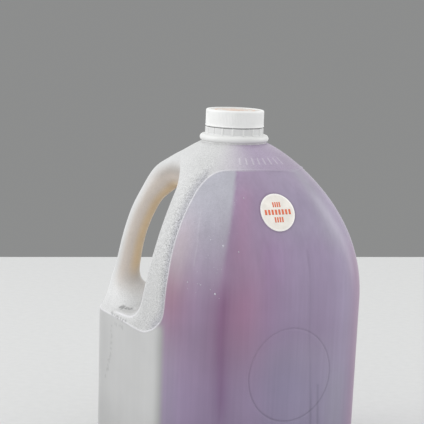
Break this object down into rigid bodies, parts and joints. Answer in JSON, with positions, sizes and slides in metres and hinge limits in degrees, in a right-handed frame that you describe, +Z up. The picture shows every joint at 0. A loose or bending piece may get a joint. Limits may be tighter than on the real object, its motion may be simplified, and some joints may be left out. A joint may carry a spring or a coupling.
{
  "type": "jug of tea",
  "caption": "Full one-gallon square plastic jug of tea with a hollow corner handle, domed shoulder, ribbed neck collar and white screw cap; stands on its base and is lifted by the handle.",
  "frame": {"origin": "middle of the base, on the plane the jug stands on", "axes": "+Z up through the cap, handle towards -X in the XZ plane, body faces at 45 degrees to X and Y, sticker on the +X -Y face"},
  "size_m": [0.1901, 0.1904, 0.252],
  "materials": {
    "milky_plastic": "satin milky plastic with mauve tea showing through, stippled round the handle and shoulder",
    "tea": "clear dark drink",
    "white_plastic": "satin white, finely ribbed",
    "cap_print": "satin printed disc",
    "sticker": "satin sticker with short orange bars"
  },
  "bodies": {
    "root": {"jug": "milky_plastic", "tea": "tea", "cap": "white_plastic", "cap_label": "cap_print", "label": "sticker"}
  },
  "joints": []
}
